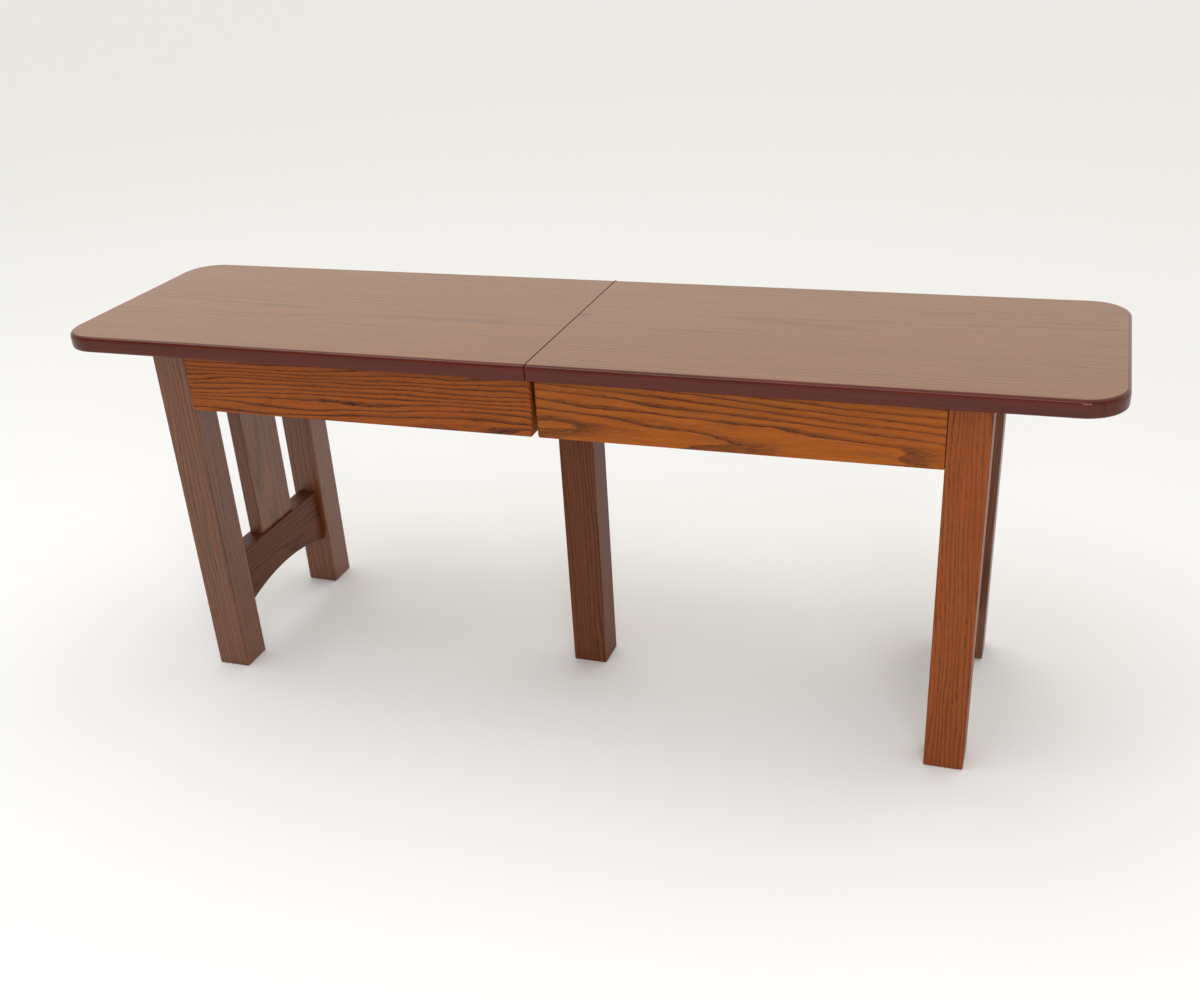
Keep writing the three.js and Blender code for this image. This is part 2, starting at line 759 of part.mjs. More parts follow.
const boltFoot = at(0, 0, legBlockBottom - legBoltDepth);
const boltSeat = at(0, 0, legBlockTop + fit);
const boltHole = bar(
  legBoltRadius + fit,
  at(0, 0, boltFoot.z - fit),
  at(0, 0, boltSeat.z + past),
);
const screwHoles = [-1, 1].flatMap((side) => [-1, 1].map((end) => (
  blockScrew(end * screwX, side * slideSetY, fit, past)
)));
const blockPlan = roundedRectangle(
  -legBlockLength / 2,
  -legBlockHalfDepth,
  legBlockLength / 2,
  legBlockHalfDepth,
  Array(4).fill(legBlockCorner),
  roundSteps,
);
const legBlock = cut(prism(blockPlan, 'z', legBlockBottom, legBlockTop), [boltHole, ...screwHoles]);
place('leg_block', legBlock, blockPoplar);

const centreLegTop = legBlockBottom - fit;
const centreLeg = prism(easedRectangle(0, 0, legWidth, legWidth, legEase), 'z', 0, centreLegTop);
place('centre_leg', centreLeg.subtract(boltHole), frameOak);

const headCorner = legBoltHeadAcrossFlats / 2 / Math.cos(Math.PI / 6);
place('centre_leg_bolt', joined([
  bar(legBoltRadius, boltFoot, at(0, 0, boltSeat.z + past)),
  bar(headCorner, boltSeat, at(0, 0, boltSeat.z + legBoltHeadHeight), 6),
]), zincSteel);

// ---------------------------------------------------------------- the lever lock

const plateFace = -apronInnerY + fit;
const plateBack = plateFace + lockPlateThickness;
const plateZ0 = lockHeight - lockPlateHeight / 2;
const plateZ1 = lockHeight + lockPlateHeight / 2;

function lockPlate(x0, x1) {
  const corners = Array(4).fill(lockPlateCorner);
  const outline = roundedRectangle(x0, plateZ0, x1, plateZ1, corners, roundSteps);
  return prism(outline, 'y', plateFace, plateBack);
}

const plateX0 = lockPivotX - lockPlateWidth / 2 + lockPlateShift;
place('lock_plate', lockPlate(plateX0, plateX0 + lockPlateWidth).subtract(rivetHole()), lockBrass);

const headFace = leverFace + leverThickness + fit;

const studX = lockPivotX - lockReach;
const keeper = joined([
  lockPlate(-plateX0 - lockPlateWidth, -plateX0),
  bar(studRadius, at(studX, plateBack - past, lockHeight), at(studX, headFace + past, lockHeight)),
  bar(studHeadRadius, at(studX, headFace, lockHeight), at(studX, headFace + lockHeadHeight, lockHeight)),
]);
place('lock_keeper', keeper, lockBrass);

place('lock_rivet', joined([
  bar(rivetRadius, at(lockPivotX, lockRivetY, lockHeight), at(lockPivotX, headFace + past, lockHeight)),
  bar(
    rivetHeadRadius,
    at(lockPivotX, headFace, lockHeight),
    at(lockPivotX, headFace + lockHeadHeight, lockHeight),
  ),
]), lockBrass);

// The lever hangs open. Its slot is an arc about the rivet, open on the side that leads when the
// lever swings up to the stud on the other apron.
function lockLever() {
  const y0 = leverFace;
  const y1 = leverFace + leverThickness;
  const tipZ = lockHeight - lockReach;
  const slotRadius = studRadius + 2 * fit;
  const slot = new THREE.Shape();
  const down = -Math.PI / 2;
  const mouth = down - slotMouthAngle;
  slot.absarc(lockPivotX, lockHeight, lockReach + slotRadius, down, mouth, true);
  slot.absarc(lockPivotX, lockHeight, lockReach - slotRadius, mouth, down, false);
  slot.closePath();
  const half = leverWidth / 2;
  const outline = joined([
    bar(leverEyeRadius, at(lockPivotX, y0, lockHeight), at(lockPivotX, y1, lockHeight), 20),
    bar(leverTipRadius, at(lockPivotX, y0, tipZ), at(lockPivotX, y1, tipZ), 20),
    block(lockPivotX - half, lockPivotX + half, y0, y1, tipZ, lockHeight),
    block(
      lockPivotX + half - leverTabThickness,
      lockPivotX + half,
      y0,
      y1 + leverTabDepth,
      tipZ + leverTabAboveStud,
      tipZ + leverTabAboveStud + leverTabLength,
    ),
  ]);
  return cut(outline, [
    prism(slot, 'y', y0 - past, y1 + past, 6),
    bar(slotRadius, at(lockPivotX, y0 - past, tipZ), at(lockPivotX, y1 + past, tipZ)),
    bar(
      rivetRadius + fit,
      at(lockPivotX, y0 - past, lockHeight),
      at(lockPivotX, y1 + past, lockHeight),
    ),
  ]);
}

place('lock_lever', lockLever(), lockBrass);

export default bench;
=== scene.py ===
"""Looks for an extending oak bench in the mission style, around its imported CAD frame.

Metres, +Z up, the bench's length along X and its front towards -Y, as in the CAD frame.
The seat boards, aprons, legs and end frames are red-brown stained oak under lacquer. The slides
under the seat are waxed maple, the blocks are plain poplar, and the metalwork is steel and brass.
"""

import json
import math

import bmesh
import bpy
from mathutils import Euler, Matrix, Vector


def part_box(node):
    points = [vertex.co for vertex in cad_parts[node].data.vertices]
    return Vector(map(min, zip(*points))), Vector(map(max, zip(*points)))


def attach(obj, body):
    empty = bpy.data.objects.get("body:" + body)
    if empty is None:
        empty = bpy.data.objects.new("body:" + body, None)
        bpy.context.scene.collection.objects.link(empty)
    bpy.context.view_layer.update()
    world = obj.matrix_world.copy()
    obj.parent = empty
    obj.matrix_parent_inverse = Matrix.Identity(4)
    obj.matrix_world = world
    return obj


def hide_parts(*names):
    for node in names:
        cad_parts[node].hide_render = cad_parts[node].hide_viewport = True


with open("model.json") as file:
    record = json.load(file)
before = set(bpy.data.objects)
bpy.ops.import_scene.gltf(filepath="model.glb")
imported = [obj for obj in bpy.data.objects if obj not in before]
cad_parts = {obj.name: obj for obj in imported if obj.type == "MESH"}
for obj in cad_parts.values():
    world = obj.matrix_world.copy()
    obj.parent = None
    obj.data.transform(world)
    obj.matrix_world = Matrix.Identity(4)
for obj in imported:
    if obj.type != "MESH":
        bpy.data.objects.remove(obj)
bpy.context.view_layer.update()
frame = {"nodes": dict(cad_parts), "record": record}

MM = 0.001

# ------------------------------------------------------------------ sizes of the visible finish

TOP_CORNER = 45 * MM
TOP_CORNER_STEPS = 14
TOP_UPPER_ROUND = 6 * MM
TOP_UPPER_STEPS = 5
TOP_LOWER_ROUND = 3 * MM
TOP_LOWER_STEPS = 3
SEAM_EASE = 0.8 * MM
PIN_ROOM = 0.4 * MM
PIN_HOLE = 20 * MM
LEG_EASE = 1.8 * MM
LEG_EASE_STEPS = 3
FOOT_EASE = 1.2 * MM
APRON_END_ROUND = 5 * MM
APRON_END_STEPS = 5
FRAME_EASE = 1.4 * MM
EASE_STEPS = 2
SLIDE_EASE = 0.6 * MM
BLOCK_EASE = 0.8 * MM
LEG_BLOCK_EASE = 1.2 * MM
GEAR_EASE = 0.15 * MM
LOCK_EASE = 0.25 * MM
STRETCHER_ARCH = 16 * MM
ARCH_STEPS = 28
PORE_DEPTH = 0.3 * MM
TOOL_MARK_DEPTH = 0.05 * MM
# Rails, slats, stretchers and aprons stop this far short of what their hidden tenons enter.
SHOULDER_GAP = 0.3 * MM
# Faces that meet more sharply than this show a crease between them.
CREASE = math.radians(50)
# Edges that turn more than this are the corners of a block, and not steps of a round.
CORNER_TURN = math.radians(40)
# Places and points closer than these are the same.
SAME_PLACE = 0.01 * MM
SAME_POINT = 0.001 * MM
ON_THE_CUT = 0.0001 * MM
# The seat's edge and its rounds get a darker maroon, as painted shade, where the Z of its normal
# is between these.
UNDERSIDE_SLOPE = -0.99
EDGE_SHADE_SLOPE = 0.97


# ------------------------------------------------------------------ small helpers


def colour(hex_text):
    """An sRGB hex colour as linear RGBA."""
    def linear(value):
        return value / 12.92 if value <= 0.04045 else ((value + 0.055) / 1.055) ** 2.4
    parts = [int(hex_text[i:i + 2], 16) / 255 for i in (0, 2, 4)]
    return (*[linear(part) for part in parts], 1.0)


def node(tree, kind, inputs=None, out=None, stops=None, **settings):
    """Add a node, set it up, and link or set its inputs. `stops` fills a colour ramp.

    Gives the node, or its output of the name `out`.
    """
    made = tree.nodes.new(kind)
    for name, value in settings.items():
        setattr(made, name, value)
    for socket, value in (inputs or {}).items():
        if isinstance(value, bpy.types.NodeSocket):
            tree.links.new(value, made.inputs[socket])
        else:
            made.inputs[socket].default_value = value
    if stops:
        elements = made.color_ramp.elements
        while len(elements) < len(stops):
            elements.new(0.5)
        for element, (position, shade) in zip(elements, stops):
            element.position = position
            element.color = shade
    return made.outputs[out] if out else made


def grey(value):
    return (value, value, value, 1.0)


# ------------------------------------------------------------------ woods

GRAIN_TURNS = {
    "x": Matrix.Identity(3),
    "y": Matrix.Rotation(math.radians(-90), 3, "Z"),
    "z": Matrix.Rotation(math.radians(90), 3, "Y"),
}


def wave_scale(spacing):
    """The scale at which Blender's wave texture repeats once in `spacing` metres."""
    return 2 * math.pi / 20 / spacing


# How far the figure of one glued strip lies from its neighbour's, in metres.
STRIP_SHIFT = (0.41, 0.014, -0.009)


def board_vector(tree, box, grain, pith, tilt, strip):
    """Coordinates with the pith along X, and each glued strip shifted to a figure of its own."""
    centre = (box[0] + box[1]) / 2
    turn = Euler([math.radians(angle) for angle in tilt]).to_matrix() @ GRAIN_TURNS[grain]
    where = node(tree, "ShaderNodeTexCoord", out="Object")
    board = node(tree, "ShaderNodeMapping", {
        "Vector": where,
        "Location": Vector(pith) * MM - turn @ centre,
        "Rotation": turn.to_euler(),
    }, "Vector")
    if not strip:
        return board
    across = node(tree, "ShaderNodeSeparateXYZ", {"Vector": where}, "Y")
    counted = node(tree, "ShaderNodeMath", {0: across, 1: strip * MM}, "Value", operation="DIVIDE")
    number = node(tree, "ShaderNodeMath", {0: counted}, "Value", operation="FLOOR")
    return node(tree, "ShaderNodeVectorMath", {
        0: number,
        1: STRIP_SHIFT,
        2: board,
    }, "Vector", operation="MULTIPLY_ADD")


def sawn_wood(name, box, grain, pith, tilt, look):
    """A plain-sawn board of the wood that the look describes.

    The rings are cylinders about the pith, so a face cut near the pith shows arches and a face
    cut far from it shows straight lines, and end grain shows arcs. `pith` is where the board's
    middle lies from the pith, in millimetres, and `tilt` leans the board to it, in degrees.
    """
    material = bpy.data.materials.new(name)
    material.use_nodes = True
    tree = material.node_tree
    tree.nodes.clear()
    board = board_vector(tree, box, grain, pith, tilt, look["strip"])

    def marks(vector, along, across, detail):
        """Noise with marks of this length and width down the grain, in millimetres."""
        scaled = node(tree, "ShaderNodeVectorMath", {
            0: vector,
            1: [1 / (size * MM) for size in (along, across, across)],
        }, "Vector", operation="MULTIPLY")
        return node(tree, "ShaderNodeTexNoise", {
            "Vector": scaled,
            "Scale": 1.0,
            "Detail": detail,
        })

    # The rings wander slowly along the board, and waver finely on the way.
    slow = marks(board, 260, 26, 2.0)
    fine = marks(board, 36, 5.5, 3.0)
    wandering = node(tree, "ShaderNodeVectorMath", {
        0: slow.outputs["Color"],
        1: [look["wander"] * MM] * 3,
        2: board,
    }, "Vector", operation="MULTIPLY_ADD")
    pushed = node(tree, "ShaderNodeVectorMath", {
        0: fine.outputs["Color"],
        1: [look["waver"] * MM] * 3,
        2: wandering,
    }, "Vector", operation="MULTIPLY_ADD")
    rings = node(tree, "ShaderNodeTexWave", {
        "Vector": pushed,
        "Scale": wave_scale(look["ring"] * MM),
        "Distortion": 0.0,
    }, "Fac", wave_type="RINGS", rings_direction="X", wave_profile="SAW")

    # Early wood starts sharply and fades into late wood, and each stretch takes its own share
    # of the stain.
    early = node(tree, "ShaderNodeValToRGB", {"Fac": rings}, "Color", stops=[
        (0.0, grey(0.7)),
        (0.06, grey(1.0)),
        (0.18, grey(0.75)),
        (0.34, grey(0.25)),
        (0.6, grey(0.0)),
        (0.97, grey(0.06)),
    ])
    take = node(tree, "ShaderNodeMapRange", {
        "Value": slow.outputs["Fac"],
        "From Min": 0.35,
        "From Max": 0.65,
        "To Min": look["least"],
        "To Max": 1.0,
    }, "Result")
    early_taken = node(tree, "ShaderNodeMath", {0: early, 1: take}, "Value", operation="MULTIPLY")

    # Pores are dashes about 12 mm long and 0.7 mm wide, wider than the real 0.3 mm, so that
    # they show. They crowd in the early wood.
    dash = node(tree, "ShaderNodeMapRange", {
        "Value": marks(pushed, 12.5, 0.67, 1.0).outputs["Fac"],
        "From Min": 0.52,
        "From Max": 0.62,
    }, "Result")
    crowd = node(tree, "ShaderNodeMath", {
        0: early_taken,
        1: look["crowd"],
        2: look["open"],
    }, "Value", operation="MULTIPLY_ADD")
    pores = node(tree, "ShaderNodeMath", {0: dash, 1: crowd}, "Value", operation="MULTIPLY")

    # Fibres are faint long streaks all through the wood.
    streaks = node(tree, "ShaderNodeMapRange", {
        "Value": marks(pushed, 140, 2.4, 3.0).outputs["Fac"],
        "From Min": 0.4,
        "From Max": 0.68,
        "To Max": look["streak"],
    }, "Result")

    shade = colour(look["late"])
    for factor, hex_text in ((early_taken, "early"), (streaks, "early"), (pores, "pore")):
        shade = node(tree, "ShaderNodeMix", {
            "Factor": factor,
            "A": shade,
            "B": colour(look[hex_text]),
        }, "Result", data_type="RGBA")

    sunk = node(tree, "ShaderNodeMath", {0: 1.0, 1: pores}, "Value", operation="SUBTRACT")
    bump = node(tree, "ShaderNodeBump", {
        "Height": sunk,
        "Strength": look["relief"],
        "Distance": PORE_DEPTH,
    }, "Normal")
    rough = node(tree, "ShaderNodeMapRange", {
        "Value": pores,
        "To Min": look["rough"],
        "To Max": look["rough"] + 0.2,
    }, "Result")
    shader = node(tree, "ShaderNodeBsdfPrincipled", {
        "Base Color": shade,
        "Roughness": rough,
        "Normal": bump,
        "IOR": 1.5,
        "Specular IOR Level": look["specular"],
        "Coat Weight": look["coat"],
        "Coat Roughness": look["coat_rough"],
        "Coat IOR": 1.5,
    }, "BSDF")
    node(tree, "ShaderNodeOutputMaterial", {"Surface": shader})
    return material


# Red oak, pigment stained and sprayed with satin lacquer. The open pores hold the stain, so each
# year's early wood is a dark line made of dashes, with clear orange-brown wood between the lines.
FRAME_OAK = {
    "late": "a6540c", "early": "632f0a", "pore": "2f1406", "ring": 5.5, "wander": 16,
    "waver": 1.6, "streak": 0.35, "least": 0.5, "crowd": 0.75, "open": 0.14, "relief": 0.35,
    "rough": 0.45, "specular": 0.22, "coat": 0.0, "coat_rough": 0.25, "strip": 0,
}
# The left legs, the right rear leg, the rails and the slats are darker and browner than the front
# right leg: painted shade for pieces that stand farther from the light.
SHADED_DARK_OAK = {
    **FRAME_OAK, "late": "79411b", "early": "42220f", "specular": 0.5, "coat": 0.3,
    "coat_rough": 0.3, "streak": 0.45,
}
# The centre leg is darker still, for a darker board and for painted shadow from the seat's
# overhang. The stretchers are darker still.
CENTRE_SHADOW_OAK = {**FRAME_OAK, "late": "6e3a1e", "early": "42200f"}
STRETCHER_OAK = {**FRAME_OAK, "late": "603219", "early": "38190c", "ring": 5.0}
# The seat is glued up from strips of the same oak, with its pores filled, under a full build of
# lacquer that mirrors the room softly and hides most of the figure.
SEAT_OAK = {
    "late": "7f4d22", "early": "693c1b", "pore": "4b2a17", "ring": 8.0, "wander": 14,
    "waver": 1.8, "streak": 0.5, "least": 0.1, "crowd": 0.4, "open": 0.07, "relief": 0.08,
    "rough": 0.42, "specular": 0.5, "coat": 0.25, "coat_rough": 0.22, "strip": 82,
}
# The seat's edge and rounds are painted a darker maroon than the top, as painted shade for faces
# that turn away from the light, under a glossier coat.
SHADED_EDGE_OAK = {
    **SEAT_OAK, "late": "571a0a", "early": "401207", "pore": "2a0d06", "rough": 0.5,
    "specular": 0.06, "coat": 0.55, "coat_rough": 0.08, "strip": 0,
}
# Hard maple, planed and waxed: pale, close and even, with hair-thin growth lines.
SLIDE_MAPLE = {
    "late": "c49a66", "early": "a97d4c", "pore": "80592f", "ring": 5.0, "wander": 14,
    "waver": 1.4, "streak": 0.6, "least": 0.3, "crowd": 0.35, "open": 0.12, "relief": 0.15,
    "rough": 0.4, "specular": 0.4, "coat": 0.0, "coat_rough": 0.25, "strip": 0,
}
# Yellow poplar, sawn and left bare: a dull greenish tan with broad soft rings.
BLOCK_POPLAR = {
    "late": "b79a67", "early": "8d7d50", "pore": "75633c", "ring": 9.0, "wander": 12,
    "waver": 1.2, "streak": 0.45, "least": 0.3, "crowd": 0.2, "open": 0.12, "relief": 0.3,
    "rough": 0.72, "specular": 0.35, "coat": 0.0, "coat_rough": 0.25, "strip": 0,
}


# ------------------------------------------------------------------ metals


def metal(name, shades, roughness, marks, relief):
    """A metal whose marks are noise of the given width along X, Y and Z, in millimetres."""
    material = bpy.data.materials.new(name)
    material.use_nodes = True
    tree = material.node_tree
    tree.nodes.clear()
    where = node(tree, "ShaderNodeTexCoord", out="Object")
    cut = node(tree, "ShaderNodeMapping", {
        "Vector": where,
        "Scale": [1 / (width * MM) for width in marks],
    }, "Vector")
    grain = node(tree, "ShaderNodeTexNoise", {"Vector": cut, "Scale": 1.0, "Detail": 2.0}, "Fac")
    # Handling and oil leave broad patches a little duller than the rest.
    patches = node(tree, "ShaderNodeTexNoise", {
        "Vector": where,
        "Scale": 1 / (9 * MM),
        "Detail": 3.0,
    }, "Fac")
    dulled = node(tree, "ShaderNodeMapRange", {
        "Value": patches,
        "From Min": 0.35,
        "From Max": 0.7,
    }, "Result")
    shade = node(tree, "ShaderNodeMix", {
        "Factor": dulled,
        "A": colour(shades[0]),
        "B": colour(shades[1]),
    }, "Result", data_type="RGBA")
    rough = node(tree, "ShaderNodeMapRange", {
        "Value": grain,
        "From Min": 0.3,
        "From Max": 0.7,
        "To Min": roughness[0],
        "To Max": roughness[1],
    }, "Result")
    bump = node(tree, "ShaderNodeBump", {
        "Height": grain,
        "Strength": relief,
        "Distance": TOOL_MARK_DEPTH,
    }, "Normal")
    shader = node(tree, "ShaderNodeBsdfPrincipled", {
        "Base Color": shade,
        "Metallic": 1.0,
        "Roughness": rough,
        "Normal": bump,
    }, "BSDF")
    node(tree, "ShaderNodeOutputMaterial", {"Surface": shader})
    return material


# Mild steel, milled across and lightly oiled: grey, with tool lines from side to side.
milled_steel = metal("milled_steel", ("8f9193", "6c6d6d"), (0.3, 0.5), (0.4, 9, 3), 0.5)
# Steel fasteners, zinc plated: bright and bluish, with a fine mottle.
zinc_plate = metal("zinc_plated_steel", ("c3c7ca", "a9adae"), (0.25, 0.42), (0.7, 0.7, 0.7), 0.3)
# Sheet brass, stamped and brushed: warm yellow, browner where it has been handled.
brushed_brass = metal("brushed_brass", ("cfa860", "a9824a"), (0.24, 0.42), (12, 3, 0.3), 0.4)


# ------------------------------------------------------------------ making wooden pieces


def start_block(low, high):
    """A bmesh holding one block between two corners."""
    made = bmesh.new()
    size = high - low
    middle = (low + high) / 2
    bmesh.ops.create_cube(made, size=1.0, matrix=(
        Matrix.Translation(middle) @ Matrix.Diagonal((*size, 1.0))
    ))
    return made


def edges_where(made, test):
    """The edges whose two ends both pass the test."""
    return [edge for edge in made.edges if all(test(vert.co) for vert in edge.verts)]


def round_edges(made, edges, radius, segments):
    bmesh.ops.bevel(
        made,
        geom=edges,
        offset=radius,
        offset_type="OFFSET",
        affect="EDGES",
        segments=segments,
        profile=0.5,
        clamp_overlap=True,
        material=-1,
    )


def corner_edges(made):
    return [edge for edge in made.edges
            if edge.is_manifold and edge.calc_face_angle() > CORNER_TURN]


def finish_piece(made, name, body, materials, replaced=()):
    """Turn a bmesh into a named object that rides on a body and stands for CAD nodes."""
    mesh = bpy.data.meshes.new(name)
    made.to_mesh(mesh)
    made.free()
    mesh.shade_smooth()
    mesh.set_sharp_from_angle(angle=CREASE)
    piece = bpy.data.objects.new(name, mesh)
    bpy.context.collection.objects.link(piece)
    for material in materials:
        mesh.materials.append(material)
    flat = piece.modifiers.new("flat faces", "WEIGHTED_NORMAL")
    flat.mode = "FACE_AREA"
    flat.weight = 100
    flat.keep_sharp = True
    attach(piece, body)
    if replaced:
        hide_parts(*replaced)


def near(value, target):
    return abs(value - target) < SAME_PLACE


BODY_OF = {
    name: body
    for body, names in frame["record"]["behaviour"]["bodies"].items()
    for name in names
}


# ------------------------------------------------------------------ seat boards


def bore(made, centre, radius, depth):
    """Sink a round hole into the flat face, square to X, that the centre lies on.

    A square cell is cut out round the hole, and its inside is pulled to a circle and pushed in.
    """
    cell = radius * 1.15
    cuts = 5
    rim = 0.05 * MM
    taper = 0.01 * MM
    for axis in ((0, 1, 0), (0, 0, 1)):
        for offset in (-cell, cell):
            flat = [face for face in made.faces
                    if abs(face.normal.x) > 0.99 and near(face.calc_center_median().x, centre.x)]
            around = {part for face in flat for part in (*face.verts, *face.edges)}
            bmesh.ops.bisect_plane(
                made,
                geom=flat + list(around),
                dist=ON_THE_CUT,
                plane_co=centre + Vector(axis) * offset,
                plane_no=axis,
            )
    mouth = min(made.faces, key=lambda face: (face.calc_center_median() - centre).length)
    bmesh.ops.subdivide_edges(made, edges=mouth.edges[:], cuts=cuts)
    bmesh.ops.inset_region(made, faces=[mouth], thickness=rim)
    for vert in mouth.verts:
        vert.co = centre + (vert.co - centre).normalized() * radius
    bmesh.ops.inset_region(made, faces=[mouth], thickness=taper, depth=-depth)


def seat_board(half, pith, tilt):
    """Half of the seat: one board with two round corners, a round edge and a crisp seam."""
    cad = f"{half}_seat_board"
    low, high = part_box(cad)
    outward = -1 if half == "left" else 1
    end_x = low.x if half == "left" else high.x
    seam_x = high.x if half == "left" else low.x
    made = start_block(low, high)
    corners = [edge for edge in made.edges if all(near(v.co.x, end_x) for v in edge.verts)
               and near(edge.verts[0].co.y, edge.verts[1].co.y)]
    round_edges(made, corners, TOP_CORNER, TOP_CORNER_STEPS)
    at_seam = edges_where(made, lambda co: near(co.x, seam_x))
    round_edges(made, at_seam, SEAM_EASE, EASE_STEPS)
    inside = seam_x + outward * SEAM_EASE * 1.5
    for height, size, steps in (
        (high.z, TOP_UPPER_ROUND, TOP_UPPER_STEPS),
        (low.z, TOP_LOWER_ROUND, TOP_LOWER_STEPS),
    ):
        rim = [edge for edge in corner_edges(made)
               if all(near(v.co.z, height) for v in edge.verts)
               and any(outward * (v.co.x - inside) > 0 for v in edge.verts)]
        round_edges(made, rim, size, steps)
    for side in ("front", "rear"):
        pin_low, pin_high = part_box(f"{side}_alignment_pin")
        pin = (pin_low + pin_high) / 2
        radius = (pin_high.z - pin_low.z) / 2 + PIN_ROOM
        bore(made, Vector((seam_x, pin.y, pin.z)), radius, PIN_HOLE)
    # Faces that turn from straight up or down take the darker edge material: painted shade on the
    # seat's edge and rounds.
    for face in made.faces:
        face.material_index = 1 if UNDERSIDE_SLOPE < face.normal.z < EDGE_SHADE_SLOPE else 0
    place = (low, high), "x", pith, tilt
    oak = sawn_wood(f"{half}_seat_lacquered_oak", *place, SEAT_OAK)
    painted_shade = sawn_wood(f"{half}_seat_edge_toned_oak", *place, SHADED_EDGE_OAK)
    finish_piece(made, f"{half}_seat", BODY_OF[cad], [oak, painted_shade], [cad])


seat_board("left", (300, 20, -70), (0, 1.2, 0.6))
seat_board("right", (900, -30, -80), (0, -1.4, 0.5))


# ------------------------------------------------------------------ aprons and end frames


def apron(half, side, pith, tilt, **changes):
    cad = f"{half}_{side}_apron"
    low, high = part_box(cad)
    leg_low, leg_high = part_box(f"{half}_{side}_leg")
    # The visible part stops at the leg's face. The tenons are out of sight in the leg.
    if half == "left":
        low = Vector((leg_high.x + SHOULDER_GAP, low.y, low.z))
        seam_x = high.x
    else:
        high = Vector((leg_low.x - SHOULDER_GAP, high.y, high.z))
        seam_x = low.x
    made = start_block(low, high)
    end = [edge for edge in edges_where(made, lambda co: near(co.x, seam_x))
           if not all(near(v.co.z, high.z) for v in edge.verts)]
    round_edges(made, end, APRON_END_ROUND, APRON_END_STEPS)
    half_length = (high.x - low.x) / 2
    long_edges = [edge for edge in corner_edges(made)
                  if all(v.co.z < high.z - MM for v in edge.verts)
                  and abs(edge.verts[0].co.x - edge.verts[1].co.x) > half_length]
    round_edges(made, long_edges, FRAME_EASE, EASE_STEPS)
    look = {**FRAME_OAK, **changes}
    oak = sawn_wood(f"{half}_{side}_apron_stained_oak", (low, high), "x", pith, tilt, look)
    finish_piece(made, f"{half}_{side}_side_apron", BODY_OF[cad], [oak], [cad])


apron("left", "front", (100, 34, 40), (0, 2.0, 0.5), ring=5.0, wander=17,
      waver=2.4, least=0.75, crowd=0.9, late="9c4d09", early="4f2308")
apron("right", "front", (200, 40, 18), (0, -1.6, 1.8), ring=6.2, wander=13,
      waver=2.6, least=0.65, late="a4560b", early="5c2c0a")
apron("left", "rear", (400, -50, 16), (0, 1.0, 1.6), ring=4.8, wander=10)
apron("right", "rear", (700, -24, -66), (0, -0.6, -1.2), ring=4.6, wander=9)


def square_leg(cad, pith, tilt, look, **changes):
    low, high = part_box(cad)
    made = start_block(low, high)
    upright = [edge for edge in made.edges if abs(edge.verts[0].co.z - edge.verts[1].co.z) > MM]
    round_edges(made, upright, LEG_EASE, LEG_EASE_STEPS)
    foot = [edge for edge in corner_edges(made) if all(near(v.co.z, low.z) for v in edge.verts)]
    round_edges(made, foot, FOOT_EASE, EASE_STEPS)
    oak = sawn_wood(f"{cad}_stained_oak", (low, high), "z", pith, tilt, {**look, **changes})
    finish_piece(made, f"{cad}_post", BODY_OF[cad], [oak], [cad])


# The left legs and the right rear leg take the darker oak, as painted shade for their distance
# from the light.
square_leg("left_front_leg", (0, 70, 62), (0, 1.0, 0.6), SHADED_DARK_OAK, ring=4.5)
square_leg("right_front_leg", (300, 64, 58), (0, 0.8, -0.7), FRAME_OAK, ring=3.6, late="94491a")
square_leg("left_rear_leg", (600, -66, 52), (0, -0.8, 0.9), SHADED_DARK_OAK, ring=4.5)
square_leg("right_rear_leg", (900, 58, -70), (0, 0.5, -1.0), SHADED_DARK_OAK, ring=4.0)
# The centre leg's darker oak is partly a darker board and partly painted shadow from the seat's
# overhang.
square_leg("centre_leg", (1200, 55, 60), (0, 1.0, 0.8), CENTRE_SHADOW_OAK, ring=4.0)


def plain_bar(cad, name, grain, visible, pith, tilt):
    """A straight rail or slat, eased along its edges, without the tenons at its ends."""
    low, high = visible
    made = start_block(low, high)
    axis = "xyz".index(grain)
    along = [edge for edge in made.edges
             if abs(edge.verts[0].co[axis] - edge.verts[1].co[axis]) > MM]
    round_edges(made, along, FRAME_EASE, EASE_STEPS)
    # Rails and slats take the darker oak, as painted shade.
    oak = sawn_wood(f"{name}_stained_oak", visible, grain, pith, tilt, SHADED_DARK_OAK)
    finish_piece(made, name, BODY_OF[cad], [oak], [cad])


